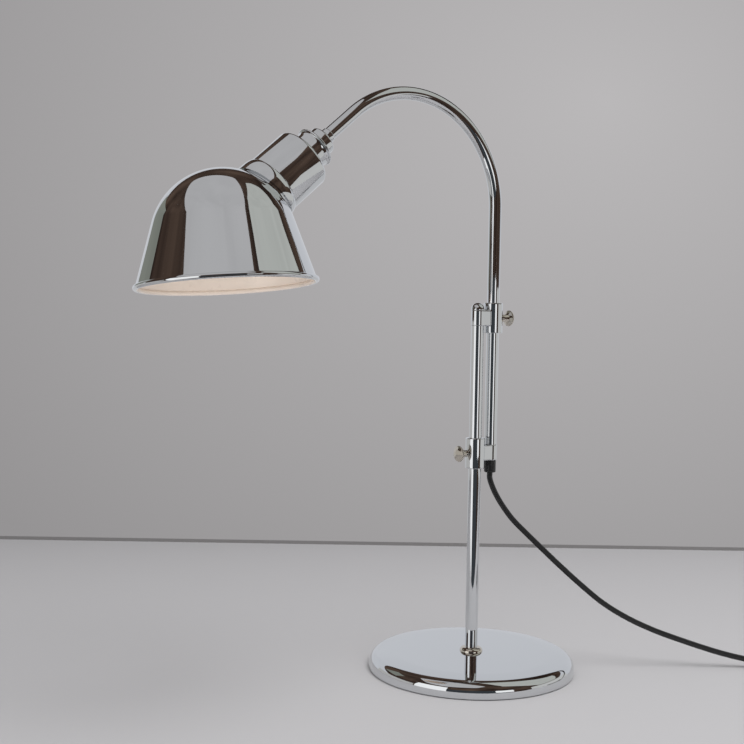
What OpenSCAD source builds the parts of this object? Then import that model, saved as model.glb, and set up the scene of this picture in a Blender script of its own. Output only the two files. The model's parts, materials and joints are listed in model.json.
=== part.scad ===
// Desk lamp with a rigid gooseneck: a weighted round base carries a post, a bent neck tube
// slides beside the post in two clamps, and a bell shade turns on the end of the neck.
// The origin is the centre of the base on the table, +Z is up, and the neck reaches to -X.

/* [Base] */
// Diameter of the domed base
base_d = 197; // [180:1:220]
// Height of the base cover's crown above the table
base_h = 16; // [15:0.5:18]
// Radius of the rolled outer edge of the base cover
base_edge_r = 4; // [3.5:0.1:4.5]

/* [Post and neck] */
// Outer diameter of the post and of the neck tube
tube_d = 12; // [12:0.5:13]
// Wall thickness of both tubes
tube_wall = 1; // [0.8:0.1:1]
// Distance between the axes of the post and of the neck tube
tube_pitch = 18.5; // [18.5:0.5:22]
// Height at which the post tube ends in the upper clamp
post_top = 329.5; // [300:0.5:340]
// Height of the middle of the lower clamp
lower_clamp_z = 208; // [170:1:230]
// Height at which the neck starts to bend
bend_z = 442; // [425:1:470]
// Radius of the bend, to the middle of the tube
bend_r = 97; // [80:1:110]
// Angle that the neck turns through
bend_angle = 131; // [120:1:140]
// Straight stretch of neck between the bend and the lampholder
neck_end = 38.5; // [30:0.5:60]

/* [Shade] */
// Height of the bell from the middle of its rolled rim to its crown
shade_h = 96; // [90:1:105]
// Radius of the bell's round crown
crown_r = 61; // [58:1:66]
// Half angle of the cone below the crown
flare = 17.3; // [14:0.1:20]
// Sheet thickness of the bell
shade_wall = 1; // [0.8:0.1:1.5]
// Radius of the rolled rim
rim_r = 2.3; // [1.8:0.1:2.8]
// Angle between the lampholder's axis and the bell's axis
shade_tilt = 51; // [46:1:56]
// Angle that the head is turned about the lampholder's axis
head_turn = 7; // [-30:1:30]

/* [Lampholder] */
// Diameter of the lampholder's cup
cup_d = 53.6; // [52:0.2:56]
// Diameter of the glass bulb
bulb_d = 45; // [38:1:46]

/* [Cord] */
// Diameter of the cord
cord_d = 5.5; // [5:0.1:5.5]

/* [Hidden] */
$fn = 72;

tube_r = tube_d / 2;
bore_r = tube_r - tube_wall;
run = 0.05;          // radial clearance of a sliding or turning fit
skin = 1.2;          // sheet thickness of the base cover
cord_r = cord_d / 2;

// Base outline: a wide dome runs into a rounder shoulder, and that into the rolled edge
dome_r = 1200;
dome_reach = 62;
shoulder_r = 170;
pad_h = 2.4;
boss_r = 13.5;
dome_a = asin(dome_reach / dome_r);
dome_c = [0, base_h - dome_r];
shoulder_c = dome_c + (dome_r - shoulder_r) * [sin(dome_a), cos(dome_a)];
shoulder_a = asin((base_d / 2 - base_edge_r - shoulder_c.x) / (shoulder_r - base_edge_r));
edge_c = shoulder_c + (shoulder_r - base_edge_r) * [sin(shoulder_a), cos(shoulder_a)];
edge_end_a = 150;
weight_r = edge_c.x - 3.5;

// Stud, washer and nut that hold the base together
stud_r = bore_r;
stud_low = 3;
stud_top = base_h + 30;
recess_r = 14;
recess_top = 10;
washer_h = 1.5;
nut_h = 5;

// Clamp castings
barrel_r = tube_r + 0.3;
barrel_h = 15;
collar_r = 9.2;
collar_h = 29;
web_w = 12;
web_cove = 2.5;
spigot_h = 20;
lead_bore_r = 3.6;
upper_clamp_z = post_top + barrel_h / 2;
screw_r = 2.5;
screw_tip = tube_r + 0.25;
cap_h = 7;

// End of the neck and the head's frame, with +Z along the lampholder towards the bulb
bend_end = [tube_pitch - bend_r * (1 - cos(bend_angle)), 0, bend_z + bend_r * sin(bend_angle)];
holder_top = bend_end + neck_end * [-sin(bend_angle), 0, cos(bend_angle)];
neck_foot = lower_clamp_z + barrel_h / 2;
end_step = 0.05;     // how much smaller in radius the neck's sized end stretch is
lap = 0.5;           // how far the end stretch reaches back into the bend
nipple_r = bore_r - end_step;
ferrule_h = 6;
nipple_in = 14;
nipple_out = 20.2;
cap_top = 0.1;
cap_low = 11.8;
flange_low = 13.8;
neck_low = 27.4;
cup_low = 67.2;
plate = 1.2;
lip_low = 69.9;
lip_r = 20;
spout_r = 27;
ring_wall = 1.8;     // of the ring where it grips the spout
ring_gap = 2.2;      // between the ring and the bell's shoulder
socket_r = 14;
socket_floor = 36;

// Bell: the sphere of the crown meets the cone on a tangent
axes_meet = 126;     // from the holder's top to where its axis crosses the bell's axis
rim_beyond = 46;     // from there to the middle of the rim
crown_z = shade_h - crown_r;
cone_top = [crown_r * cos(flare), crown_z + crown_r * sin(flare)];
cone_low_r = cone_top.x + cone_top.y * tan(flare);

// Bulb
bulb_r = bulb_d / 2;
bulb_seat = 64;
bulb_tip = 111;
glass = 0.8;

// Cord: out of the grommet, down to the table and into the switch
grommet_h = 12;
grommet_r = 5.65;
cord_exit = [tube_pitch, 0, lower_clamp_z - barrel_h / 2 - grommet_h];
route = [cord_exit, [18.5, 0, 183], [20.5, -1, 176], [23.5, -3, 168], [29, -6.5, 157],
         [38, -12, 143], [50, -19.5, 129], [64, -28, 113.5], [80, -38, 96],
         [97, -48.5, 78.5], [115, -60, 61.5], [136, -73, 47], [158, -86.5, 35.5],
         [181, -100.5, 26], [205, -115.5, 17], [219, -124, 12.5], [232, -132, 9],
         [245, -140.4, 6], [256, -147.2, 5], [268, -154.7, 5]];
cord_sides = 10;
lay_a = -31.8;       // heading of the cord on the table
switch_l = 60;
switch_w = 24;
switch_h = 16;
switch_split = 8;
switch_mid = [290, -168.4];
cord_rise = 5;       // height of the cord's middle in the switch
cord_gap = 0.1;      // clearance round the cord in the switch

// Coil: turns beside and on each other, wound clockwise on the table
turn_gap = 5.7;
coil_out = 40.8;
coil_in = 22.3;
coil_lift = 0.8;
coil_h = 2 * turn_gap;
coil_mid = [319.5, -234.7];
tie_w = 10;
tie_t = 0.8;

// Plug, at the end of the cord's last stretch
tail_l = 29;
tail_turn = 12;      // how far before the coil's near side the cord leaves it
plug_l = 36;
plug_w = 35;
plug_h = 13.6;
pin_gap = 18.6;      // distance between the pins' axes
pin_r = 2;
shank_r = 1.6;
shank_l = 8;

// Points of an arc about c, from angle a0 to a1, counted from +Y towards +X
function arc(c, r, a0, a1, n) =
    [for (i = [0:n]) let (a = a0 + (a1 - a0) * i / n) c + r * [sin(a), cos(a)]];

function reversed(list) = [for (i = [len(list) - 1:-1:0]) list[i]];

// Outline of a stadium of length l and width w
function stadium(l, w) =
    concat(arc([(l - w) / 2, 0], w / 2, 0, 180, 16), arc([(w - l) / 2, 0], w / 2, 180, 360, 16));

// Rings of a tube swept along points, and the solid that they bound
function unit(v) = v / norm(v);
function heading(p, i) =
    unit((i < len(p) - 1 ? unit(p[i + 1] - p[i]) : [0, 0, 0])
         + (i > 0 ? unit(p[i] - p[i - 1]) : [0, 0, 0]));
function ring(p, i, r, sides) =
    let (t = heading(p, i), u = unit(cross(t, [0.45, 0.89, 0])), v = cross(t, u))
    [for (k = [0:sides - 1]) p[i] + r * (cos(360 * k / sides) * u + sin(360 * k / sides) * v)];

module swept(p, r, sides) {
    n = len(p);
    points = [for (i = [0:n - 1]) each ring(p, i, r, sides)];
    walls = [for (i = [0:n - 2], k = [0:sides - 1])
        let (a = i * sides + k, b = i * sides + (k + 1) % sides)
        [a, b, b + sides, a + sides]];
    low = [for (k = [sides - 1:-1:0]) k];
    high = [for (k = [0:sides - 1]) (n - 1) * sides + k];
    polyhedron(points, concat([low, high], walls));
}

// Tube from z0 to z1
module pipe(r_out, r_in, z0, z1) {
    difference() {
        translate([0, 0, z0]) cylinder(r = r_out, h = z1 - z0);
        translate([0, 0, z0 - 1]) cylinder(r = r_in, h = z1 - z0 + 2);
    }
}

// Turned barrel with broken edges, centred on z
module barrel(r, h, edge) {
    rotate_extrude()
        polygon([[0, -h / 2], [r - edge, -h / 2], [r, edge - h / 2], [r, h / 2 - edge],
                 [r - edge, h / 2], [0, h / 2]]);
}

module hex_nut(flats, h, hole_r) {
    difference() {
        cylinder(d = flats / cos(30), h = h, $fn = 6);
        translate([0, 0, -1]) cylinder(r = hole_r, h = h + 2);
    }
}

module head_frame() {
    translate(holder_top) rotate([0, -bend_angle, 0]) rotate([0, 0, head_turn]) children();
}

// ---- Base ----

function base_outline(off, end_a) =
    concat([[boss_r, base_h - off]],
           arc(dome_c, dome_r - off, asin(20 / dome_r), dome_a, 6),
           arc(shoulder_c, shoulder_r - off, dome_a, shoulder_a, 8),
           arc(edge_c, base_edge_r - off, shoulder_a, end_a, 12));

module base_cover() {
    color([0.78, 0.79, 0.80])
        rotate_extrude()
            polygon(concat([[stud_r + 0.1, base_h]], base_outline(0, edge_end_a),
                           reversed(base_outline(skin, edge_end_a)),
                           [[stud_r + 0.1, base_h - skin]]));
}

module base_weight() {
    gap = 0.4;
    top = concat([[boss_r, base_h - skin]],
                 arc(dome_c, dome_r - skin - gap, asin(20 / dome_r), dome_a, 6),
                 [for (p = arc(shoulder_c, shoulder_r - skin - gap, dome_a, shoulder_a, 8))
                     if (p.x < weight_r) p]);
    color([0.25, 0.25, 0.26])
        rotate_extrude()
            polygon(concat([[stud_r + 0.3, base_h - skin]], top,
                           [[weight_r, pad_h + 2], [weight_r - 2, pad_h], [recess_r, pad_h],
                            [recess_r, recess_top], [stud_r + 0.3, recess_top]]));
}

module base_pad() {
    color([0.12, 0.12, 0.12])
        cylinder(r = weight_r - 1, h = pad_h);
}

module post_stud() {
    color([0.62, 0.60, 0.56])
        translate([0, 0, stud_low]) cylinder(r = stud_r, h = stud_top - stud_low);
}

module base_washer() {
    color([0.70, 0.70, 0.70])
        pipe(10, stud_r, recess_top - washer_h, recess_top);
}

module base_nut() {
    color([0.68, 0.66, 0.60])
        translate([0, 0, recess_top - washer_h - nut_h]) hex_nut(17, nut_h, stud_r);
}

module foot_ring() {
    bead = 2.3;
    color([0.72, 0.66, 0.58])
        rotate_extrude()
            polygon(concat([[tube_r, base_h], [tube_r, base_h + 2 * bead]],
                           arc([tube_r + 2.7, base_h + bead], bead, 0, 180, 18)));
}

// ---- Post and clamps ----

module post() {
    color([0.80, 0.81, 0.82])
        pipe(tube_r, bore_r, base_h, post_top);
}

// Half of the web's outline, with a cove where it runs into the collar
function web_side() =
    let (reach = collar_r + web_cove, side = web_w / 2 + web_cove,
         back = sqrt(reach * reach - side * side))
    concat([[0, web_w / 2]],
           arc([tube_pitch - back, side], web_cove, 180, 180 - asin(back / reach), 6));

// A short barrel plugs into one tube, a taller collar slides on the other, and a flat web
// as wide as the tube joins them. Origin: middle of the short barrel; the collar is at +X.
module clamp_casting() {
    difference() {
        union() {
            barrel(barrel_r, barrel_h, 0.6);
            translate([0, 0, -barrel_h / 2 - spigot_h]) cylinder(r = bore_r, h = spigot_h + 1);
            translate([0, 0, 0.3 - barrel_h / 2])
                linear_extrude(barrel_h - 0.6)
                    polygon(concat(web_side(), [[tube_pitch, 0]],
                                   reversed([for (q = web_side()) [q.x, -q.y]])));
            translate([tube_pitch, 0, 0]) barrel(collar_r, collar_h, 0.8);
        }
        translate([0, 0, -barrel_h / 2 - spigot_h - 1])
            cylinder(r = lead_bore_r, h = barrel_h + spigot_h + 2);
        translate([tube_pitch, 0, -collar_h]) cylinder(r = tube_r + run, h = 2 * collar_h);
        translate([tube_pitch, 0, 0]) rotate([0, 90, 0])
            cylinder(r = screw_r + run, h = collar_r + 1);
    }
}

// Turned screw with a domed head, its axis on +Z and its tip just off the tube
module thumbscrew() {
    hub = 10.2;
    head = 17.2;
    head_r = 7.65;
    edge = 1;
    face_r = 22;
    face_z = head + 4;
    rotate_extrude()
        polygon(concat([[0, screw_tip], [screw_r - 0.5, screw_tip], [screw_r, screw_tip + 0.5],
                        [screw_r, hub], [3.1, hub], [3.4, hub + 0.4], [4.1, head],
                        [head_r - edge, head + 1.1]],
                       arc([head_r - edge, head + 1.1 + edge], edge, 160, 30, 6),
                       arc([0, face_z - face_r], face_r, 17, 0, 6)));
}

module upper_clamp() {
    color([0.79, 0.80, 0.81])
        translate([0, 0, upper_clamp_z]) clamp_casting();
}

module lower_clamp() {
    color([0.79, 0.80, 0.81])
        translate([tube_pitch, 0, lower_clamp_z]) rotate([0, 180, 0]) clamp_casting();
}

module post_cap() {
    color([0.80, 0.81, 0.82])
        translate([0, 0, post_top + barrel_h])
            rotate_extrude()
                polygon(concat([[0, -8], [lead_bore_r - 0.4, -8], [lead_bore_r, -7.6],
                                [lead_bore_r, 0], [barrel_r, 0]],
                               arc([0, cap_h - barrel_r], barrel_r, 90, 0, 14)));
}

module upper_thumbscrew() {
    color([0.70, 0.66, 0.60])
        translate([tube_pitch, 0, upper_clamp_z]) rotate([0, 90, 0]) thumbscrew();
}

module lower_thumbscrew() {
    color([0.70, 0.66, 0.60])
        translate([0, 0, lower_clamp_z]) rotate([0, -90, 0]) thumbscrew();
}

// ---- Neck ----

// Solid rod of radius r along the neck's middle line, from height z0 to past the bend,
// where the end stretch is sized down a little
module along_neck(r, z0, past) {
    translate([tube_pitch, 0, z0]) cylinder(r = r, h = bend_z - z0);
    translate([tube_pitch - bend_r, 0, bend_z]) rotate([90, 0, 0])
        rotate_extrude(angle = bend_angle) translate([bend_r, 0]) circle(r = r);
    translate([tube_pitch - bend_r, 0, bend_z]) rotate([0, -bend_angle, 0])
        translate([bend_r, 0, -lap]) cylinder(r = r - end_step, h = past + lap);
}

module neck_tube() {
    color([0.80, 0.81, 0.82])
        difference() {
            along_neck(tube_r, neck_foot, neck_end);
            translate([tube_pitch, 0, neck_foot - 1]) cylinder(r = bore_r, h = 2);
            along_neck(bore_r, neck_foot, neck_end + 1);
        }
}

module neck_ferrule() {
    color([0.80, 0.81, 0.82])
        head_frame()
            rotate_extrude()
                polygon([[tube_r - end_step, -ferrule_h], [tube_r + 0.45, -ferrule_h],
                         [tube_r + 0.8, 0.5 - ferrule_h], [tube_r + 0.8, -0.4],
                         [tube_r + 0.5, 0], [tube_r - end_step, 0]]);
}

module swivel_nipple() {
    color([0.80, 0.66, 0.34])
        head_frame() pipe(nipple_r, cord_r + 0.15, -nipple_in, nipple_out);
}

module swivel_nut() {
    color([0.80, 0.66, 0.34])
        head_frame() translate([0, 0, flange_low + plate + 0.1]) hex_nut(14, 4.5, nipple_r);
}

module cord_grommet() {
    top = lower_clamp_z - barrel_h / 2;
    color([0.08, 0.08, 0.08])
        translate([tube_pitch, 0, top])
            rotate_extrude()
                polygon(concat([[cord_r, 14], [lead_bore_r, 14], [lead_bore_r, 0],
                                [grommet_r - 0.4, 0], [grommet_r, -0.4]],
                               arc([grommet_r - 1.2, 1.2 - grommet_h], 1.2, 90, 180, 5),
                               [[cord_r, -grommet_h]]));
}

module inner_lead() {
    color([0.10, 0.10, 0.10])
        along_neck(cord_r, cord_exit.z, neck_end + nipple_out - 1);
}

// ---- Lampholder ----

module holder_cap() {
    r = 12.6;
    edge = 2;
    dome_r = 8;
    color([0.80, 0.81, 0.82])
        head_frame()
            rotate_extrude()
                polygon(concat([[nipple_r + run, cap_low], [nipple_r + run, cap_top],
                                [dome_r, cap_top]],
                               reversed(arc([r - edge, cap_top + 1.2 + edge], edge, 90, 180, 6)),
                               [[r, cap_low]]));
}

module holder_flange() {
    r = 18.5;
    half = (flange_low - cap_low) / 2;
    color([0.84, 0.84, 0.84])
        head_frame()
            rotate_extrude()
                polygon(concat([[nipple_r + run, flange_low], [nipple_r + run, cap_low]],
                               arc([r - half, cap_low + half], half, 180, 0, 8)));
}

// Spun neck of the cup, with a cove below the flange
module holder_neck() {
    r = 16.4;
    cove = [1.4, 4];
    color([0.80, 0.81, 0.82])
        head_frame()
            rotate_extrude()
                polygon(concat([[nipple_r + run, flange_low]],
                               [for (a = [0:15:90])
                                   [r + cove.x * (1 - sin(a)), flange_low + cove.y * (1 - cos(a))]],
                               [[r, neck_low], [r - plate, neck_low],
                                [r - plate, flange_low + plate],
                                [nipple_r + run, flange_low + plate]]));
}

module holder_cup() {
    r = cup_d / 2;
    edge = 3;
    hole = 12;
    color([0.80, 0.81, 0.82])
        head_frame()
            rotate_extrude()
                polygon(concat([[hole, neck_low]],
                               arc([r - edge, neck_low + edge], edge, 180, 90, 8),
                               [[r, cup_low], [r - plate, cup_low]],
                               arc([r - edge, neck_low + edge], edge - plate, 90, 180, 5),
                               [[hole, neck_low + plate]]));
}

// Flared ring that clamps the bell's spout and the lampholder's insert to the cup. Its lower
// edge follows the bell's shoulder at an even gap.
module shade_ring() {
    r = cup_d / 2;
    swell = spout_r + ring_wall - r;
    flare_h = 9;
    color([0.80, 0.81, 0.82])
        head_frame()
            difference() {
                rotate_extrude()
                    polygon(concat([[lip_r, cup_low]],
                                   [for (a = [0:15:90])
                                       [r + swell * sin(a), cup_low + flare_h * (1 - cos(a))]],
                                   [[r + swell, cup_low + 30], [spout_r, cup_low + 30],
                                    [spout_r, lip_low], [lip_r, lip_low]]));
                shade_frame()
                    rotate_extrude()
                        polygon(concat(bell_outline(-ring_gap), [[0, 0]]));
            }
}

// ---- Bell shade ----

// Profile of the bell, offset inwards from its outside
function bell_outline(off) =
    concat(arc([0, crown_z], crown_r - off, 0, 90 - flare, 20),
           [[cone_low_r - off / cos(flare), 0]]);

module shade_frame() {
    translate([0, 0, axes_meet]) rotate([0, 180 - shade_tilt, 0])
        translate([0, 0, -rim_beyond]) children();
}

module shade() {
    inside = bell_outline(shade_wall);
    color([0.80, 0.81, 0.82])
        head_frame() {
            difference() {
                union() {
                    shade_frame()
                        rotate_extrude()
                            polygon(concat(bell_outline(0), reversed(inside)));
                    difference() {
                        translate([0, 0, lip_low]) cylinder(r = spout_r, h = 34);
                        shade_frame()
                            rotate_extrude()
                                polygon(concat(inside, [[0, 0]]));
                    }
                }
                translate([0, 0, lip_low - 1]) cylinder(r = spout_r - shade_wall, h = 36);
            }
            shade_frame()
                rotate_extrude()
                    translate([cone_low_r - shade_wall / 2, 0]) circle(r = rim_r, $fn = 32);
        }
}

// ---- Lampholder insert and bulb ----

module socket_body() {
    flange_r = cup_d / 2 - plate - 0.1;
    color([0.93, 0.92, 0.88])
        head_frame()
            difference() {
                union() {
                    translate([0, 0, neck_low + plate])
                        cylinder(r = 19, h = cup_low - neck_low - plate);
                    translate([0, 0, cup_low - 8]) cylinder(r = flange_r, h = 8);
                }
                translate([0, 0, socket_floor]) cylinder(r = socket_r, h = cup_low);
                for (x = [-7, 7])
                    translate([x, 0, neck_low]) cylinder(r = 1.4, h = 4.4);
            }
}

module screw_shell() {
    color([0.80, 0.66, 0.34])
        head_frame() pipe(socket_r, socket_r - 0.5, socket_floor, cup_low - 1);
}

module centre_contact() {
    color([0.80, 0.66, 0.34])
        head_frame() translate([0, 0, socket_floor]) cylinder(r = 4, h = 1.5);
}

module terminal_screws() {
    color([0.80, 0.66, 0.34])
        head_frame()
            for (x = [-7, 7])
                translate([x, 0, 0]) {
                    translate([0, 0, neck_low - 0.8]) cylinder(r = 2.6, h = 2);
                    translate([0, 0, neck_low]) cylinder(r = 1.4, h = 4.4);
                }
}

// Bared cores between the lead's end and the terminals
module lead_tails() {
    rise = neck_low - 0.8 - nipple_out - 0.3;
    lean = atan2(5, rise);
    color([0.55, 0.30, 0.16])
        head_frame()
            for (s = [-1, 1])
                translate([s * 1.3, 0, nipple_out + 0.3])
                    rotate([0, s * lean, 0])
                        cylinder(r = 0.8, h = rise / cos(lean) - 0.7);
}

module bulb_cap() {
    turns = 5;
    pitch = 3.6;
    low = socket_floor + 4;
    color([0.78, 0.78, 0.76])
        head_frame()
            rotate_extrude()
                polygon(concat([[0, low - 2.5], [3, low - 2.5], [6, low - 1.4], [12, low]],
                               [for (i = [0:turns * 6])
                                   [12.6 + 0.5 * sin(60 * i), low + 0.8 + pitch * i / 6]],
                               [[12.8, bulb_seat - 2], [12.8, bulb_seat], [0, bulb_seat]]));
}

module bulb_glass() {
    centre = [0, bulb_tip - bulb_r];
    neck_r = 12.4;
    shoulder = 148;
    color([0.95, 0.92, 0.85, 0.6])
        head_frame()
            rotate_extrude()
                polygon(concat(arc(centre, bulb_r, 0, shoulder, 24), [[neck_r, bulb_seat]],
                               [[neck_r - glass, bulb_seat]],
                               arc(centre, bulb_r - glass, shoulder, 0, 24)));
}

// ---- Cord, switch, coil and plug, lying on the table ----

// Frame on the table with +X along the cord, turned further by turn
module on_table(p, turn = 0) {
    translate([p.x, p.y, 0]) rotate([0, 0, lay_a + turn]) children();
}

function table_point(p, x, y, z, turn = 0) =
    let (a = lay_a + turn)
    [p.x + x * cos(a) - y * sin(a), p.y + x * sin(a) + y * cos(a), z];

// Point of the cord's last stretch, x past the coil
function tail_point(x, z) = table_point(coil_mid, -x, -coil_out, z, tail_turn);

module cord() {
    color([0.07, 0.07, 0.07])
        swept(route, cord_r, cord_sides);
}

module cord_link() {
    half = switch_l / 2;
    z = coil_lift + cord_r;
    color([0.07, 0.07, 0.07])
        swept([table_point(switch_mid, half - 3, 0, cord_rise),
               table_point(switch_mid, half + 4, 0, cord_rise),
               table_point(switch_mid, half + 16, 0, z + 0.6),
               table_point(switch_mid, half + 29, -0.3, z)], cord_r, cord_sides);
}

// Outer shape of the coil of spare cord
module cord_coil() {
    low = coil_lift;
    r0 = coil_in - turn_gap / 2;
    r1 = coil_out + turn_gap / 2;
    edge = 2.4;
    color([0.07, 0.07, 0.07])
        translate([coil_mid.x, coil_mid.y, 0])
            rotate_extrude()
                polygon(concat(arc([r1 - edge, low + edge], edge, 180, 90, 4),
                               arc([r1 - edge, low + coil_h - edge], edge, 90, 0, 4),
                               arc([r0 + edge, low + coil_h - edge], edge, 0, -90, 4),
                               arc([r0 + edge, low + edge], edge, -90, -180, 4)));
}

module cord_tail() {
    z = coil_lift + 1.5 * turn_gap;
    color([0.07, 0.07, 0.07])
        swept([tail_point(0, z), tail_point(12, 8.4), tail_point(22, plug_h / 2),
               tail_point(tail_l, plug_h / 2)], cord_r, cord_sides);
}

module coil_tie() {
    slack = 0.8;
    r0 = coil_in - turn_gap / 2 - slack;
    r1 = coil_out + turn_gap / 2 + slack;
    color([0.16, 0.16, 0.16])
        translate([coil_mid.x, coil_mid.y, 0]) rotate([0, 0, -75])
            translate([0, tie_w / 2, 0]) rotate([90, 0, 0])
                linear_extrude(tie_w)
                    difference() {
                        translate([r0 - tie_t, coil_lift - tie_t])
                            square([r1 - r0 + 2 * tie_t, coil_h + 2 * tie_t]);
                        translate([r0, coil_lift]) square([r1 - r0, coil_h]);
                    }
}

module switch_shell(z0, z1, floor_z0) {
    wall = 1.6;
    difference() {
        translate([0, 0, z0]) linear_extrude(z1 - z0) polygon(stadium(switch_l, switch_w));
        translate([0, 0, floor_z0])
            linear_extrude(z1 - z0 - wall)
                polygon(stadium(switch_l - 2 * wall, switch_w - 2 * wall));
        translate([-switch_l, 0, cord_rise]) rotate([0, 90, 0])
            cylinder(r = cord_r + cord_gap, h = 2 * switch_l);
    }
}

module switch_base() {
    color([0.07, 0.07, 0.07])
        on_table(switch_mid) {
            difference() {
                switch_shell(0, switch_split, 1.6);
                for (x = [-22, 22])
                    translate([x, 8, -1]) cylinder(r = 1.25, h = 4);
            }
            for (x = [-22, 22])
                translate([x, 8, 1.6]) pipe(2.6, 1.25, -0.6, switch_split - 1.6);
        }
}

module switch_cover() {
    window = [19, 10.6];
    color([0.07, 0.07, 0.07])
        on_table(switch_mid)
            difference() {
                union() {
                    switch_shell(switch_split, switch_h, switch_split);
                    for (x = [-22, 22])
                        translate([x, 8, 0]) pipe(2.6, 1.2, switch_split, switch_h - 1);
                    for (s = [-1, 1])
                        translate([0, s * 7.2, switch_h - 4.6]) cube([7, 3.4, 7.6], center = true);
                }
                translate([0, 0, switch_h]) cube([window.x, window.y, 20], center = true);
                translate([0, 0, switch_h - 3.4]) rotate([90, 0, 0])
                    cylinder(r = 1.5, h = 18, center = true);
            }
}

// Rocker on two side pins, at rest with its far end pressed
module switch_rocker() {
    half = 8.6;
    width = 10;
    color([0.10, 0.10, 0.10])
        on_table(switch_mid)
            translate([0, 0, switch_h - 3.4])
                rotate([90, 0, 0]) {
                    rotate([0, 0, -7])
                        translate([0, 0, -width / 2])
                            linear_extrude(width)
                                polygon([[-half, 4.2], [-half, 1.4], [-2.2, -1.2], [-1.2, -3.6],
                                         [1.2, -3.6], [2.2, -1.2], [half, 1.4], [half, 4.2],
                                         [half / 2, 4.6], [0, 4.8], [-half / 2, 4.6]]);
                    cylinder(r = 1.45, h = 14, center = true);
                }
}

module switch_contacts() {
    color([0.80, 0.66, 0.34])
        on_table(switch_mid)
            for (s = [-1, 1])
                translate([s * 7, 0, 1.6]) {
                    translate([-3, -2, 0]) cube([6, 4, 0.8]);
                    translate([-0.4, -2, 0]) cube([0.8, 4, 3.2]);
                }
}

module switch_screws() {
    color([0.70, 0.70, 0.70])
        on_table(switch_mid)
            for (x = [-22, 22])
                translate([x, 8, 0.6]) cylinder(r = 1.2, h = switch_h - 4);
}

// Flat two-pin plug
module plug_body() {
    color([0.07, 0.07, 0.07])
        on_table(tail_point(tail_l + plug_l / 2, 0), tail_turn)
            difference() {
                linear_extrude(plug_h)
                    polygon([[-plug_l / 2, -plug_w / 2], [-plug_l / 2, plug_w / 2],
                             [-4, plug_w / 2], [2, plug_w / 2 - 1.5], [13, 6.5],
                             [plug_l / 2, 5], [plug_l / 2, -5], [13, -6.5],
                             [2, 1.5 - plug_w / 2], [-4, -plug_w / 2]]);
                for (s = [-1, 1])
                    translate([-plug_l / 2 - 1, s * pin_gap / 2, plug_h / 2])
                        rotate([0, 90, 0]) cylinder(r = shank_r, h = shank_l + 1);
            }
}

module plug_pins() {
    wall = 17;
    color([0.78, 0.70, 0.50])
        on_table(tail_point(tail_l + plug_l / 2, 0), tail_turn)
            for (s = [-1, 1])
                translate([-plug_l / 2, s * pin_gap / 2, plug_h / 2]) rotate([0, -90, 0])
                    rotate_extrude()
                        polygon(concat([[0, -shank_l], [shank_r, -shank_l], [shank_r, 0], [pin_r, 0]],
                                       arc([0, wall], pin_r, 90, 0, 6)));
}

base_cover();
base_weight();
base_pad();
base_washer();
base_nut();
post_stud();
foot_ring();
post();
upper_clamp();
post_cap();
upper_thumbscrew();
lower_clamp();
lower_thumbscrew();
neck_tube();
neck_ferrule();
swivel_nipple();
swivel_nut();
cord_grommet();
inner_lead();
holder_cap();
holder_flange();
holder_neck();
holder_cup();
shade_ring();
shade();
socket_body();
screw_shell();
centre_contact();
terminal_screws();
lead_tails();
bulb_cap();
bulb_glass();
cord();
cord_link();
cord_coil();
cord_tail();
coil_tie();
switch_base();
switch_cover();
switch_rocker();
switch_contacts();
switch_screws();
plug_body();
plug_pins();
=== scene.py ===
import json
import math

import bmesh
import bpy
from mathutils import Matrix, Vector
from mathutils.geometry import interpolate_bezier


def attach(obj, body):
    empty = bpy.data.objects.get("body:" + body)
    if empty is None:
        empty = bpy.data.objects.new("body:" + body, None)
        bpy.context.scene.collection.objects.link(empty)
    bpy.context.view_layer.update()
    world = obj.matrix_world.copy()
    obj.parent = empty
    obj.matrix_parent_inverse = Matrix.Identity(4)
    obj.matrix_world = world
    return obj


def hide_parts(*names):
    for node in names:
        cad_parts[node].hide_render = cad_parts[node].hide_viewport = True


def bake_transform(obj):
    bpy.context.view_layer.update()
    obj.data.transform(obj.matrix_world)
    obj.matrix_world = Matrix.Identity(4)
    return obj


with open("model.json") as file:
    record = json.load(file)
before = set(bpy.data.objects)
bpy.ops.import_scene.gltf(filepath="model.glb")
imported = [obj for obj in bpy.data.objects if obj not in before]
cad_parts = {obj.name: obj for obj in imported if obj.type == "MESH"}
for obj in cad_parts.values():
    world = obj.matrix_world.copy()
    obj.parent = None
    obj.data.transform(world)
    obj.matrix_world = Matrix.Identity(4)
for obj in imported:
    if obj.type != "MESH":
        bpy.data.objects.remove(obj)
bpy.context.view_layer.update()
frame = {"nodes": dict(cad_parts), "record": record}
nodes = frame["nodes"]
record = frame["record"]
slotOf = {part["node"]: part["material_slot"] for part in record["subparts"]}
bodyOf = {node: body for body, members in record["behaviour"]["bodies"].items()
          for node in members}
scene = bpy.context.scene
mm = 0.001
print("frame loaded,", len(nodes), "nodes")


# Everything below is measured in millimetres and degrees, and brought to metres when a piece is
# finished
def turn(angle, axis):
    return Matrix.Rotation(math.radians(angle), 4, axis)


def move(x, y, z):
    return Matrix.Translation((x, y, z))


# A step of one at an angle counted from up towards outwards
def heading(angle):
    return Vector((math.sin(math.radians(angle)), math.cos(math.radians(angle))))


# Camera: a mild telephoto a little over a metre away, level with the upper clamp
cameraValues = {
    "place": (-687.3, -885.8, 336.9),
    "pan": -32.71,
    "tilt": 87.283,
    "roll": 0.893,
    "lens": 56.76,
    "sensor": 36,
    "nearest": 10,
    "furthest": 50000,
}


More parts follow.
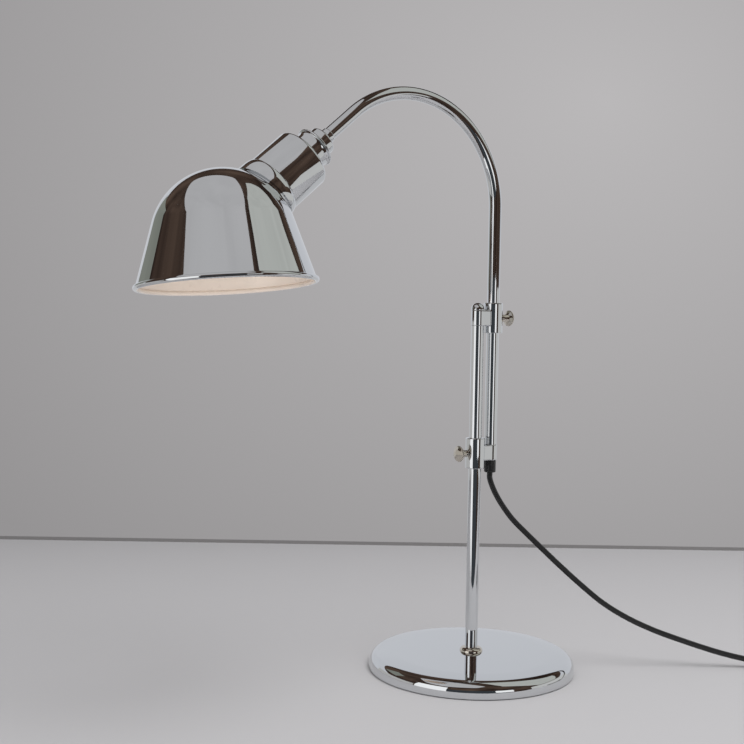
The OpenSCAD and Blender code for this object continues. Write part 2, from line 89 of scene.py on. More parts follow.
def makeCamera(values):
    data = bpy.data.cameras.new("camera")
    data.sensor_width = values["sensor"]
    data.lens = values["lens"]
    data.clip_start = values["nearest"] * mm
    data.clip_end = values["furthest"] * mm
    camera = bpy.data.objects.new("camera", data)
    looking = turn(values["pan"], "Z") @ turn(values["tilt"], "X") @ turn(values["roll"], "Z")
    camera.matrix_world = Matrix.Translation(Vector(values["place"]) * mm) @ looking
    scene.collection.objects.link(camera)
    scene.camera = camera


makeCamera(cameraValues)
print("camera placed")


# Colours are written as sRGB hex and turned linear here
def hexColour(text):
    channels = [int(text[i:i + 2], 16) / 255 for i in (1, 3, 5)]
    return [c / 12.92 if c <= 0.04045 else ((c + 0.055) / 1.055) ** 2.4 for c in channels] + [1]


# The scale of a pattern whose size is in millimetres
def patternScale(size):
    return 1 / (size * mm)


# Adds a shader node; inputs hold plain values or the sockets to link from
def addNode(tree, kind, inputs=None, **settings):
    node = tree.nodes.new("ShaderNode" + kind)
    for key, value in settings.items():
        setattr(node, key, value)
    for key, value in (inputs or {}).items():
        if isinstance(value, bpy.types.NodeSocket):
            tree.links.new(value, node.inputs[key])
        else:
            node.inputs[key].default_value = value
    return node


def newMaterial(name):
    material = bpy.data.materials.new(name)
    material.use_nodes = True
    material.node_tree.nodes.clear()
    return material, material.node_tree


# Bright chromium plate on polished steel: a clear mirror with a trace of polishing haze
chromeValues = {
    "colour": "#DCDEE0",
    "roughness": 0.02,
    "haze": 0.04,
    "hazeSize": 22,
    "hazeDetail": 4,
    "hazeGain": 0.6,
    "hazeFrom": 0.35,
    "hazeTo": 0.8,
}
# Nickel plate on turned brass: warmer and a little softer than chrome
nickelValues = {
    "colour": "#D2CBC0",
    "roughness": 0.04,
    "haze": 0.08,
    "hazeSize": 8.33,
    "hazeDetail": 3,
    "hazeGain": 0.5,
    "hazeFrom": 0,
    "hazeTo": 1,
}


# Plate on polished metal, its mirror softened here and there by the haze
def platedMetal(name, values):
    material, tree = newMaterial(name)
    spot = addNode(tree, "TexCoord").outputs["Object"]
    haze = addNode(tree, "TexNoise", {"Vector": spot, "Scale": patternScale(values["hazeSize"]),
                                      "Detail": values["hazeDetail"],
                                      "Roughness": values["hazeGain"]})
    rough = addNode(tree, "MapRange", {"Value": haze.outputs["Fac"],
                                       "From Min": values["hazeFrom"],
                                       "From Max": values["hazeTo"],
                                       "To Min": values["roughness"],
                                       "To Max": values["roughness"] + values["haze"]})
    shader = addNode(tree, "BsdfPrincipled", {"Base Color": hexColour(values["colour"]),
                                              "Metallic": 1.0, "Roughness": rough.outputs[0]})
    addNode(tree, "OutputMaterial", {"Surface": shader.outputs[0]})
    return material


# What the grained finishes share: patches over which colour and shine drift, and how much the
# grain shows
grainValues = {
    "patchSize": 25,
    "patchFrom": 0.3,
    "patchTo": 0.7,
    "shineDrift": 0.15,
    "bump": 0.3,
    "coatRoughness": 0.05,
}


# A moulded, cast or drawn surface: its colour and shine drift a little over it, and a grain,
# whose size and depth are in millimetres, breaks up the highlights
def grainedFinish(name, colour, drift, roughness, grain, depth, metallic=0.0, coat=0.0):
    material, tree = newMaterial(name)
    spot = addNode(tree, "TexCoord").outputs["Object"]
    patch = addNode(tree, "TexNoise", {"Vector": spot, "Detail": 3.0,
                                       "Scale": patternScale(grainValues["patchSize"])})
    tone = addNode(tree, "Mix", {0: patch.outputs["Fac"], 6: hexColour(colour),
                                 7: hexColour(drift)}, data_type="RGBA")
    rough = addNode(tree, "MapRange", {"Value": patch.outputs["Fac"],
                                       "From Min": grainValues["patchFrom"],
                                       "From Max": grainValues["patchTo"],
                                       "To Min": roughness * (1 - grainValues["shineDrift"]),
                                       "To Max": roughness * (1 + grainValues["shineDrift"])})
    speck = addNode(tree, "TexNoise", {"Vector": spot, "Detail": 2.0,
                                       "Scale": patternScale(grain)})
    bump = addNode(tree, "Bump", {"Height": speck.outputs["Fac"],
                                  "Strength": grainValues["bump"], "Distance": depth * mm})
    shader = addNode(tree, "BsdfPrincipled", {"Base Color": tone.outputs[2], "Metallic": metallic,
                                              "Roughness": rough.outputs[0], "Coat Weight": coat,
                                              "Coat Roughness": grainValues["coatRoughness"],
                                              "Normal": bump.outputs[0]})
    addNode(tree, "OutputMaterial", {"Surface": shader.outputs[0]})
    return material


# Bulb glass frosted on its inside: milky, with the clear outer face still glossy
glassValues = {
    "colour": "#F7F3EA",
    "drift": "#EEE8DC",
    "frostSize": 16.7,
    "roughness": 0.45,
    "transmission": 0.25,
    "coatRoughness": 0.03,
}


def frostedGlass(values):
    material, tree = newMaterial("frostedGlass")
    spot = addNode(tree, "TexCoord").outputs["Object"]
    frost = addNode(tree, "TexNoise", {"Vector": spot, "Detail": 4.0,
                                       "Scale": patternScale(values["frostSize"])})
    tone = addNode(tree, "Mix", {0: frost.outputs["Fac"], 6: hexColour(values["colour"]),
                                 7: hexColour(values["drift"])}, data_type="RGBA")
    shader = addNode(tree, "BsdfPrincipled", {"Base Color": tone.outputs[2],
                                              "Roughness": values["roughness"],
                                              "Transmission Weight": values["transmission"],
                                              "Coat Weight": 1.0,
                                              "Coat Roughness": values["coatRoughness"]})
    addNode(tree, "OutputMaterial", {"Surface": shader.outputs[0]})
    return material


chrome = platedMetal("chromePlate", chromeValues)
nickel = platedMetal("nickelPlate", nickelValues)
bulbGlass = frostedGlass(glassValues)
# Stove enamel sprayed inside the bell, glossy with a faint orange peel: white enamel, tinted cream
# by painted warm light
enamel = grainedFinish("enamelWithWarmLight", "#FBEEE1", "#F9EADB", roughness=0.3, grain=2.5, depth=0.02,
                       coat=0.4)
# Extruded PVC sheath: a dull sheen and a slightly uneven skin
blackPvc = grainedFinish("blackPvc", "#19191A", "#202021", roughness=0.36, grain=3, depth=0.03)
# Injection-moulded ABS, fine spark-eroded texture that greys its highlights
blackMoulding = grainedFinish("blackAbs", "#1A1A1C", "#212123", roughness=0.42, grain=0.6,
                              depth=0.02)
# Turned brass, bare where the wiring touches it
brass = grainedFinish("turnedBrass", "#D9B36B", "#CFA860", roughness=0.25, grain=0.8, depth=0.01,
                      metallic=1.0)
# Sand-cast iron: dark, coarse and nearly without shine
iron = grainedFinish("sandCastIron", "#3A3A3C", "#4A4744", roughness=0.7, grain=1.2, depth=0.2,
                     metallic=0.6)
# Zinc-plated steel hardware, a cool grey with a dull spangle
zinc = grainedFinish("zincPlatedSteel", "#C2C4C6", "#B2B3B0", roughness=0.32, grain=2, depth=0.01,
                     metallic=1.0)
# Natural rubber pad, matt black
rubber = grainedFinish("padRubber", "#232323", "#2B2B2A", roughness=0.8, grain=0.8, depth=0.05)
# Glazed porcelain insert: white under a clear glaze
porcelain = grainedFinish("glazedPorcelain", "#F1EEE6", "#ECE8DF", roughness=0.35, grain=4,
                          depth=0.02, coat=1.0)
# Tinned copper strands: a pale red metal, greyed by the tin in patches
copper = grainedFinish("tinnedCopper", "#C08A62", "#B9B2A8", roughness=0.35, grain=0.5,
                       depth=0.02, metallic=1.0)
# Spun aluminium of the bulb's screw cap: pale and satin
aluminium = grainedFinish("spunAluminium", "#CFCFCB", "#C3C3BF", roughness=0.28, grain=0.7,
                          depth=0.01, metallic=1.0)
# Nickel-plated brass pins: bright, with a yellow cast
pinMetal = grainedFinish("pinNickel", "#D3C8B0", "#C9BDA2", roughness=0.2, grain=0.8, depth=0.005,
                         metallic=1.0)

slotFinish = {
    "chrome_plate": chrome, "chrome_bell": chrome, "warm_nickel": nickel, "grey_iron": iron,
    "zinc_steel": zinc, "brass_bare": brass, "base_rubber": rubber, "black_pvc": blackPvc,
    "black_moulding": blackMoulding, "porcelain": porcelain, "copper_core": copper,
    "bulb_shell": aluminium, "frosted_glass": bulbGlass, "pin_nickel": pinMetal,
}

for node, slot in slotOf.items():
    mesh = nodes[node].data
    mesh.materials.clear()
    mesh.materials.append(slotFinish[slot])
print("finishes on the nodes")


# Points of an arc, its angles counted from up towards outwards
def arcPoints(centre, radius, start, end, count):
    points = []
    for i in range(count + 1):
        angle = math.radians(start + (end - start) * i / count)
        points.append((centre[0] + radius * math.sin(angle), centre[1] + radius * math.cos(angle)))
    return points


# A quarter of an ellipse, from straight below its centre to level with it
def quarterCurve(centre, across, down, count):
    angles = [math.pi / 2 * i / count for i in range(count + 1)]
    return [(centre[0] + across * math.sin(a), centre[1] - down * math.cos(a)) for a in angles]


# An outline whose corners are (x, y, radius of the rounding)
def roundCorners(corners, steps=5):
    points = []
    for i, (x, y, radius) in enumerate(corners):
        here = Vector((x, y))
        if radius == 0:
            points.append((x, y))
            continue
        back = (Vector(corners[i - 1][:2]) - here).normalized()
        ahead = (Vector(corners[(i + 1) % len(corners)][:2]) - here).normalized()
        half = back.angle(ahead) / 2
        centre = here + (back + ahead).normalized() * radius / math.sin(half)
        first = (here + back * radius / math.tan(half) - centre).normalized()
        last = (here + ahead * radius / math.tan(half) - centre).normalized()
        points += [tuple(centre + first.slerp(last, k / steps) * radius) for k in range(steps + 1)]
    return points


def wire(bm, points, closed):
    corners = [bm.verts.new(p) for p in points]
    for pair in zip(corners, corners[1:] + corners[:1] if closed else corners[1:]):
        bm.edges.new(pair)
    return corners


mergeGap = 0.0005  # points of an outline that are closer than this are one


# A turned shape: the outline is (radius, height), spun about the upright axis
def turned(outline, closed=True, steps=128):
    bm = bmesh.new()
    wire(bm, [(r, 0, z) for r, z in outline], closed)
    bmesh.ops.spin(bm, geom=bm.verts[:] + bm.edges[:], cent=(0, 0, 0), axis=(0, 0, 1),
                   angle=math.tau, steps=steps, use_merge=True)
    bmesh.ops.remove_doubles(bm, verts=bm.verts, dist=mergeGap)
    bmesh.ops.recalc_face_normals(bm, faces=bm.faces)
    return bm


# A plain round rod
def rod(radius, low, high):
    return turned([(0, low), (radius, low), (radius, high), (0, high)], closed=False)


# A flat outline drawn upwards from height low to height high
def drawnUp(outline, low, high):
    bm = bmesh.new()
    face = bm.faces.new(wire(bm, [(x, y, low) for x, y in outline], True))
    grown = bmesh.ops.extrude_face_region(bm, geom=[face])["geom"]
    bmesh.ops.translate(bm, verts=[v for v in grown if isinstance(v, bmesh.types.BMVert)],
                        vec=(0, 0, high - low))
    bmesh.ops.recalc_face_normals(bm, faces=bm.faces)
    return bm


# Brings a shape to its place and makes it an object
def makeObject(name, bm, place=Matrix(), finishes=(), sharp=35):
    bm.transform(Matrix.Scale(mm, 4) @ place)
    mesh = bpy.data.meshes.new(name)
    bm.to_mesh(mesh)
    bm.free()
    mesh.shade_smooth()
    mesh.set_sharp_from_angle(angle=math.radians(sharp))
    for finish in finishes:
        mesh.materials.append(finish)
    piece = bpy.data.objects.new(name, mesh)
    scene.collection.objects.link(piece)
    return piece


# Bakes a piece's modifiers into its mesh
def settle(piece, sharp=35):
    seen = piece.evaluated_get(bpy.context.evaluated_depsgraph_get())
    mesh = bpy.data.meshes.new_from_object(seen)
    piece.modifiers.clear()
    piece.data = mesh
    mesh.shade_smooth()
    mesh.set_sharp_from_angle(angle=math.radians(sharp))


# Joins another shape to a piece, or cuts it out of it
def combine(piece, other, operation):
    tool = piece.modifiers.new(operation.lower(), "BOOLEAN")
    tool.operation = operation
    tool.solver = "EXACT"
    tool.object = other
    settle(piece)
    bpy.data.objects.remove(other)


# A piece stands for one node: it moves with the node's body, and the node is hidden
def standFor(piece, node):
    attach(piece, bodyOf[node])
    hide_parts(node)
    return piece


# A piece in the finish of the node that it stands for
def makePiece(name, node, bm, place=Matrix(), sharp=35):
    return standFor(makeObject(name, bm, place, [slotFinish[slotOf[node]]], sharp), node)


# Moulded fittings on the cord: the shapes of their nodes, with edges rounded as a mould leaves
# them. Each node has the name of its piece and the radius of its edges.
fittingValues = {
    "plug_body": ("plugBody", 1.4),
    "switch_base": ("switchBase", 0.7),
    "switch_cover": ("switchCover", 1.2),
    "switch_rocker": ("switchRocker", 0.6),
    "coil_tie": ("coilTie", 0.5),
}
mouldValues = {"mergeGap": 0.005, "flatAngle": 2, "edgeAngle": 40, "segments": 3}


def makeFitting(node, name, radius, values):
    bm = bmesh.new()
    bm.from_mesh(nodes[node].data)
    bm.transform(Matrix.Scale(1 / mm, 4))
    bmesh.ops.remove_doubles(bm, verts=bm.verts, dist=values["mergeGap"])
    bmesh.ops.dissolve_limit(bm, angle_limit=math.radians(values["flatAngle"]), verts=bm.verts,
                             edges=bm.edges)
    piece = makePiece(name, node, bm)
    soft = piece.modifiers.new("mouldEdge", "BEVEL")
    soft.width = radius * mm
    soft.segments = values["segments"]
    soft.limit_method = "ANGLE"
    soft.angle_limit = math.radians(values["edgeAngle"])
    settle(piece, sharp=values["edgeAngle"])
    return piece


fittings = [makeFitting(node, name, radius, mouldValues)
            for node, (name, radius) in fittingValues.items()]
print("cord fittings moulded")


# The cord: out of the grommet and down to the table, through the switch, round the coil, to
# the plug
cordValues = {
    "diameter": 5.5,
    "sides": 16,
    "stepsPerPoint": 4,
    "closest": 0.4,  # points that come nearer than this to the last one are left out
    "route": [(18.5, 0, 188.5), (18.5, 0, 183), (20.5, -1, 176), (23.5, -3, 168), (29, -6.5, 157),
              (38, -12, 143), (50, -19.5, 129), (64, -28, 113.5), (80, -38, 96),
              (97, -48.5, 78.5), (115, -60, 61.5), (136, -73, 47), (158, -86.5, 35.5),
              (181, -100.5, 26), (205, -115.5, 17), (219, -124, 12.5), (232, -132, 9),
              (245, -140.4, 6), (256, -147.2, 5), (268, -154.7, 5)],
    "stillFrom": 14,  # a point along the route, counted from its start
    "layAngle": -31.8,
    "switchMid": (290, -168.4),
    "switchSteps": ((-12, 5), (0, 5), (12, 5), (30, 5), (38, 4.6), (48, 3.65)),  # along and up
    "coilMid": (319.5, -234.7),
    "coilOut": 40.8,
    "coilIn": 22.3,
    "startAngle": 90,
    "turns": 6.5,
    "turnGap": 5.7,
    "lift": 0.8,
    "climb": 0.34,
    "pointsPerTurn": 48,
    "tailTurn": 12,
    "tailSteps": ((12, 8.4), (22, 6.8), (29, 6.8)),  # past the coil and up
}


def onTable(centre, angle=0):
    return move(*centre, 0) @ turn(cordValues["layAngle"] + angle, "Z")


# Two flat layers of turns, clockwise from above: inwards below, then outwards on top
def coilPoints(values):
    gap = values["turnGap"]
    low = values["lift"] + gap / 2
    total = values["turns"] - values["tailTurn"] / 360
    points = []
    for i in range(round(total * values["pointsPerTurn"]) + 1):
        done = min(i / values["pointsPerTurn"], total)
        radius = max(values["coilOut"] - gap * min(done, total - done), values["coilIn"])
        share = min(1, max(0, (done - total / 2) / values["climb"] + 0.5))
        rise = share * share * (3 - 2 * share) * gap
        angle = math.radians(values["startAngle"] - 360 * done)
        spot = Vector((radius * math.cos(angle), radius * math.sin(angle), low + rise))
        points.append(onTable(values["coilMid"]) @ spot)
    return points


def cordLine(values):
    switch = onTable(values["switchMid"])
    tail = onTable(values["coilMid"], values["tailTurn"])
    line = [Vector(p) for p in values["route"]]
    line += [switch @ Vector((x, 0, z)) for x, z in values["switchSteps"]]
    line += coilPoints(values)
    line += [tail @ Vector((-x, -values["coilOut"], z)) for x, z in values["tailSteps"]]
    return line


# A smooth line through the points, one Bezier stretch between each two
def smoothLine(points, steps):
    line = []
    for i in range(len(points) - 1):
        a, b = points[i], points[i + 1]
        reach = (b - a).length / 3
        leave = a + (b - points[max(i - 1, 0)]).normalized() * reach
        arrive = b - (points[min(i + 2, len(points) - 1)] - a).normalized() * reach
        line += interpolate_bezier(a, leave, arrive, b, steps + 1)[:-1]
    return line + [points[-1]]


def sweptTube(name, points, radius, sides, sharp=60):
    curve = bpy.data.curves.new(name, "CURVE")
    curve.dimensions = "3D"
    curve.bevel_depth = radius * mm
    curve.bevel_resolution = sides // 4 - 1
    curve.use_fill_caps = True
    spline = curve.splines.new("POLY")
    spline.points.add(len(points) - 1)
    for corner, p in zip(spline.points, points):
        corner.co = (*(p * mm), 1)
    holder = bpy.data.objects.new(name, curve)
    scene.collection.objects.link(holder)
    mesh = bpy.data.meshes.new_from_object(holder)
    bpy.data.objects.remove(holder)
    mesh.name = name
    mesh.shade_smooth()
    mesh.set_sharp_from_angle(angle=math.radians(sharp))
    piece = bpy.data.objects.new(name, mesh)
    scene.collection.objects.link(piece)
    return piece


def makeCord(values):
    smooth = smoothLine(cordLine(values), values["stepsPerPoint"])
    line = smooth[:1]
    for p in smooth[1:]:
        if (p - line[-1]).length > values["closest"]:
            line.append(p)
    cord = sweptTube("mains_cord", line, values["diameter"] / 2, values["sides"])
    cord.data.materials.clear()
    cord.data.materials.append(blackPvc)
    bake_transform(cord)
    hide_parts("cord", "cord_link", "cord_coil", "cord_tail")


makeCord(cordValues)
print("cord laid")


# Round base: a pressed cover over the weight, with a half-round ring where the post stands on it
baseValues = {
    "reach": 98.2,
    "high": 17,
    "skin": 1.2,
    "hole": 5.1,
    "domeRadius": 9000,
    "domeReach": 72,
    "shoulderRadius": 130,
    "edgeRadius": 10,
    "edgeEnd": 80,
    "wallRadius": 26,
    "wallEnd": 94,
    "ringHole": 6,
    "ringMiddle": 7.1,
    "ringBead": 3.9,
}


# The cover's side is four arcs that run into each other: an all but flat dome, a shoulder, the
# edge and the wall
def coverSide(values, off):
    dome, shoulder = values["domeRadius"], values["shoulderRadius"]
    edge, wall = values["edgeRadius"], values["wallRadius"]
    domeStart = math.degrees(math.asin(values["hole"] / dome))
    domeEnd = math.degrees(math.asin(values["domeReach"] / dome))
    domeMid = Vector((0, values["high"] - dome))
    shoulderMid = domeMid + (dome - shoulder) * heading(domeEnd)
    wallStep = (wall - edge) * heading(values["edgeEnd"])
    across = values["reach"] - wall + wallStep.x - shoulderMid.x
    shoulderEnd = math.degrees(math.asin(across / (shoulder - edge)))
    edgeMid = shoulderMid + (shoulder - edge) * heading(shoulderEnd)
    wallMid = edgeMid - wallStep
    points = arcPoints(domeMid, dome - off, domeStart, domeEnd, 10)
    points += arcPoints(shoulderMid, shoulder - off, domeEnd, shoulderEnd, 20)[1:]
    points += arcPoints(edgeMid, edge - off, shoulderEnd, values["edgeEnd"], 20)[1:]
    points += arcPoints(wallMid, wall - off, values["edgeEnd"], values["wallEnd"], 10)[1:]
    return points


def makeBase(values):
    cover = turned(coverSide(values, 0) + coverSide(values, values["skin"])[::-1], steps=240)
    makePiece("basePlate", "base_cover", cover)
    hole, high, bead = values["ringHole"], values["high"], values["ringBead"]
    ring = turned([(hole, high), (hole, high + bead)]
                  + arcPoints((values["ringMiddle"], high), bead, 0, 90, 24))
    makePiece("footRing", "foot_ring", ring)


makeBase(baseValues)
print("base turned")


# Post and bent neck, both of the same tube, with the clamps between them
tubeValues = {
    "radius": 6,
    "wall": 1,
    "sides": 64,
    "pitch": 18.5,
    "postFoot": 16,
    "postTop": 329.5,
    "neckFoot": 215.5,
    "bendHeight": 442,
    "bendRadius": 97,
    "bendAngle": 131,
    "bendSteps": 120,
    "neckEnd": 38.5,
}


def tubeStart(values, x, z):
    bm = bmesh.new()
    bmesh.ops.create_circle(bm, segments=values["sides"], radius=values["radius"],
                            matrix=move(x, 0, z))
    return bm


# Draws the tube's open end along a vector, or round a bend
def drawOn(bm, edges, vector):
    grown = bmesh.ops.extrude_edge_only(bm, edges=edges)["geom"]
    bmesh.ops.translate(bm, verts=[v for v in grown if isinstance(v, bmesh.types.BMVert)],
                        vec=vector)
    return [e for e in grown if isinstance(e, bmesh.types.BMEdge)]


def bendOn(bm, edges, centre, axis, angle, steps):
    ends = list({v for e in edges for v in e.verts})
    made = bmesh.ops.spin(bm, geom=ends + edges, cent=centre, axis=axis,
                          angle=math.radians(angle), steps=steps)
    return [e for e in made["geom_last"] if isinstance(e, bmesh.types.BMEdge)]


def openTube(name, node, bm, values):
    bmesh.ops.recalc_face_normals(bm, faces=bm.faces)
    piece = makePiece(name, node, bm)
    wall = piece.modifiers.new("wall", "SOLIDIFY")
    wall.thickness = values["wall"] * mm
    wall.offset = -1
    settle(piece)


def makePost(values):
    post = tubeStart(values, 0, values["postFoot"])
    drawOn(post, post.edges[:], (0, 0, values["postTop"] - values["postFoot"]))
    openTube("postTube", "post", post, values)


def makeNeck(values):
    pitch, height = values["pitch"], values["bendHeight"]
    neck = tubeStart(values, pitch, values["neckFoot"])
    end = drawOn(neck, neck.edges[:], (0, 0, height - values["neckFoot"]))
    end = bendOn(neck, end, (pitch - values["bendRadius"], 0, height), (0, -1, 0),
                 values["bendAngle"], values["bendSteps"])
    bend = math.radians(values["bendAngle"])
    drawOn(neck, end, Vector((-math.sin(bend), 0, math.cos(bend))) * values["neckEnd"])
    openTube("bentNeck", "neck_tube", neck, values)


makePost(tubeValues)
makeNeck(tubeValues)
print("post and neck drawn")


# Clamp castings: a short barrel on the end of one tube, a collar that slides on the other and a
# web between them, all fused with soft cast corners
clampValues = {
    "barrel": 6.3,
    "barrelHigh": 15,
    "collar": 9.2,
    "collarHigh": 29,
    "bore": 6.25,
    "web": 12,
    "webInset": 0.3,
    "voxel": 0.35,
    "softness": 0.5,
    "softenings": 14,
    "upperAt": 337,
    "lowerAt": 208,
    "capHigh": 7,
    "pegReach": 3.6,
    "pegLong": 8,
}


def makeClamp(name, node, values, place):
    pitch = tubeValues["pitch"]
    high, collarHigh = values["barrelHigh"] / 2, values["collarHigh"] / 2
    collarPlace = place @ move(pitch, 0, 0)
    clamp = makePiece(name, node, rod(values["barrel"], -high, high), place)
    collar = rod(values["collar"], -collarHigh, collarHigh)
    combine(clamp, makeObject("collar", collar, collarPlace), "UNION")
    half, webHigh = values["web"] / 2, high - values["webInset"]
    web = drawnUp([(0, -half), (pitch, -half), (pitch, half), (0, half)], -webHigh, webHigh)
    combine(clamp, makeObject("web", web, place), "UNION")
    bore = rod(values["bore"], -values["collarHigh"], values["collarHigh"])
    combine(clamp, makeObject("bore", bore, collarPlace), "DIFFERENCE")
    cast = clamp.modifiers.new("cast", "REMESH")
    cast.mode = "VOXEL"
    cast.voxel_size = values["voxel"] * mm
    soft = clamp.modifiers.new("polish", "SMOOTH")
    soft.factor = values["softness"]
    soft.iterations = values["softenings"]
    settle(clamp, sharp=180)


# A domed cap, its peg in the top of the upper clamp's barrel
def makePostCap(values):
    radius, peg, long = values["barrel"], values["pegReach"], values["pegLong"]
    cap = turned([(0, -long), (peg, -long), (peg, 0), (radius, 0)]
                 + arcPoints((0, values["capHigh"] - radius), radius, 90, 0, 24), closed=False)
    makePiece("postCap", "post_cap", cap,
              move(0, 0, tubeValues["postTop"] + values["barrelHigh"]))


makeClamp("upperClamp", "upper_clamp", clampValues, move(0, 0, clampValues["upperAt"]))
makeClamp("lowerClamp", "lower_clamp", clampValues,
          move(tubeValues["pitch"], 0, clampValues["lowerAt"]) @ turn(180, "Y"))
makePostCap(clampValues)
print("clamps cast")


# Thumbscrews: a domed head with a knurled rim on a short neck, whose outline is (radius, height
# over the hub)
screwValues = {
    "stem": 2.5,
    "stemBevel": 0.5,
    "tip": 6.25,
    "hub": 10.2,
    "neck": [(3.1, 0), (3.4, 0.4), (3.5, 3), (4.1, 7)],
    "head": 18.3,
    "headReach": 7.65,
    "edge": 1,
    "faceRadius": 22,
    "faceTop": 21.2,
    "faceAngle": 17,
    "grooves": 48,
    "grooveDepth": 0.22,
    "grooveFrom": 0.6,  # how far out on the rounded edge the grooves start, as a share of it
    "stepsPerGroove": 4,
}


def makeScrew(name, node, values, place):
    tip, stem, bevel = values["tip"], values["stem"], values["stemBevel"]
    hub, head, edge = values["hub"], values["head"], values["edge"]
    rim, faceRadius = values["headReach"] - edge, values["faceRadius"]
    outline = [(0, tip), (stem - bevel, tip), (stem, tip + bevel), (stem, hub)]
    outline += [(reach, hub + height) for reach, height in values["neck"]] + [(rim, head)]
    outline += arcPoints((rim, head + edge), edge, 160, 30, 10)
    outline += arcPoints((0, values["faceTop"] - faceRadius), faceRadius, values["faceAngle"], 0,
                         10)
    grooves = values["grooves"]
    screw = turned(outline, closed=False, steps=grooves * values["stepsPerGroove"])
    for corner in screw.verts:
        reach = math.hypot(corner.co.x, corner.co.y)
        if reach > rim + edge * values["grooveFrom"]:
            wave = math.cos(grooves * math.atan2(corner.co.y, corner.co.x))
            pull = 1 - values["grooveDepth"] * (0.5 - 0.5 * wave) / reach
            corner.co.x *= pull
            corner.co.y *= pull
    makePiece(name, node, screw, place, sharp=50)


makeScrew("upperScrew", "upper_thumbscrew", screwValues,
          move(tubeValues["pitch"], 0, clampValues["upperAt"]) @ turn(90, "Y"))
makeScrew("lowerScrew", "lower_thumbscrew", screwValues,
          move(0, 0, clampValues["lowerAt"]) @ turn(-90, "Y"))
print("thumbscrews turned")


# The lead leaves the lower clamp through a soft moulded grommet
grommetValues = {
    "reach": 5.65,
    "long": 12,
    "round": 1.2,
    "edge": 0.4,
    "bore": 2.75,
    "plugReach": 3.6,
    "plugHigh": 3,
}


def makeGrommet(values):
    reach, long, bore = values["reach"], values["long"], values["bore"]
    plug, high = values["plugReach"], values["plugHigh"]
    grommet = turned(roundCorners([(bore, high, 0), (plug, high, 0), (plug, 0, 0),
                                   (reach, 0, values["edge"]), (reach, -long, values["round"]),
                                   (bore, -long, values["edge"])]))
    top = clampValues["lowerAt"] - clampValues["barrelHigh"] / 2
    makePiece("grommet", "cord_grommet", grommet, move(tubeValues["pitch"], 0, top))


makeGrommet(grommetValues)
print("grommet moulded")


# The head's own frame starts at the neck's end and runs down the lampholder's axis
def neckEndFrame(values):
    bend = math.radians(values["bendAngle"])
    x = values["pitch"] - values["bendRadius"] * (1 - math.cos(bend))
    z = values["bendHeight"] + values["bendRadius"] * math.sin(bend)
    x -= values["neckEnd"] * math.sin(bend)
    z += values["neckEnd"] * math.cos(bend)
    return move(x, 0, z) @ turn(-values["bendAngle"], "Y")


headTurn = 7  # how far the head is turned on the neck's end
headFrame = neckEndFrame(tubeValues) @ turn(headTurn, "Z")

# Lampholder: stacked turned parts of one sheet thickness, each an outline about the holder's
# axis, with heights counted from the neck's end
holderValues = {
    "hole": 5,
    "sheet": 1.2,
    "ferruleBore": 5.95, "ferruleStart": 6.45, "ferruleReach": 6.8, "ferruleLong": 6,
    "ferruleTaper": 0.6, "ferruleRounds": (0.2, 0.3, 0.4),
    "capReach": 12.6, "capDome": 8, "capTop": 0.1, "capFall": 1.8, "capLow": 11.8,
    "capRounds": (1.5, 2),
    "flangeReach": 18.5, "flangeLow": 13.8,
    "neckReach": 16.4, "neckLow": 27.4, "coveIn": 1.4, "coveHigh": 4,
    "cupReach": 26.8, "cupHole": 12, "cupLow": 67.2, "cupRounds": (3, 0.5, 1),
}


def ferruleShape(values):
    bore, reach, long = values["ferruleBore"], values["ferruleReach"], values["ferruleLong"]
    startRound, taperRound, endRound = values["ferruleRounds"]
    return turned(roundCorners([(bore, -long, 0), (values["ferruleStart"], -long, startRound),
                                (reach, values["ferruleTaper"] - long, taperRound),
                                (reach, 0, endRound), (bore, 0, 0)]))


def capShape(values):
    hole, reach, top, low = values["hole"], values["capReach"], values["capTop"], values["capLow"]
    domeRound, sideRound = values["capRounds"]
    return turned(roundCorners([(hole, top, 0), (values["capDome"], top, domeRound),
                                (reach, top + values["capFall"], sideRound), (reach, low, 0),
                                (hole, low, 0)], steps=8))


def flangeShape(values):
    hole, top, low = values["hole"], values["capLow"], values["flangeLow"]
    half = (low - top) / 2
    return turned([(hole, low), (hole, top)]
                  + arcPoints((values["flangeReach"] - half, top + half), half, 180, 0, 12))


def holderNeckShape(values):
    hole, reach, sheet = values["hole"], values["neckReach"], values["sheet"]
    top, low = values["flangeLow"], values["neckLow"]
    cove = quarterCurve((reach + values["coveIn"], top + values["coveHigh"]), -values["coveIn"],
                        values["coveHigh"], 10)
    return turned([(hole, top)] + cove + [(reach, low), (reach - sheet, low),
                                          (reach - sheet, top + sheet), (hole, top + sheet)])


def cupShape(values):
    hole, reach, sheet = values["cupHole"], values["cupReach"], values["sheet"]
    top, low = values["neckLow"], values["cupLow"]
    topRound, lipRound, innerRound = values["cupRounds"]
    return turned(roundCorners([(hole, top, 0), (reach, top, topRound), (reach, low, lipRound),
                                (reach - sheet, low, 0), (reach - sheet, top + sheet, innerRound),
                                (hole, top + sheet, 0)], steps=8))


makePiece("neckFerrule", "neck_ferrule", ferruleShape(holderValues), headFrame)
makePiece("holderCap", "holder_cap", capShape(holderValues), headFrame)
makePiece("holderFlange", "holder_flange", flangeShape(holderValues), headFrame)
makePiece("holderNeck", "holder_neck", holderNeckShape(holderValues), headFrame)
makePiece("holderCup", "holder_cup", cupShape(holderValues), headFrame)
print("lampholder turned")


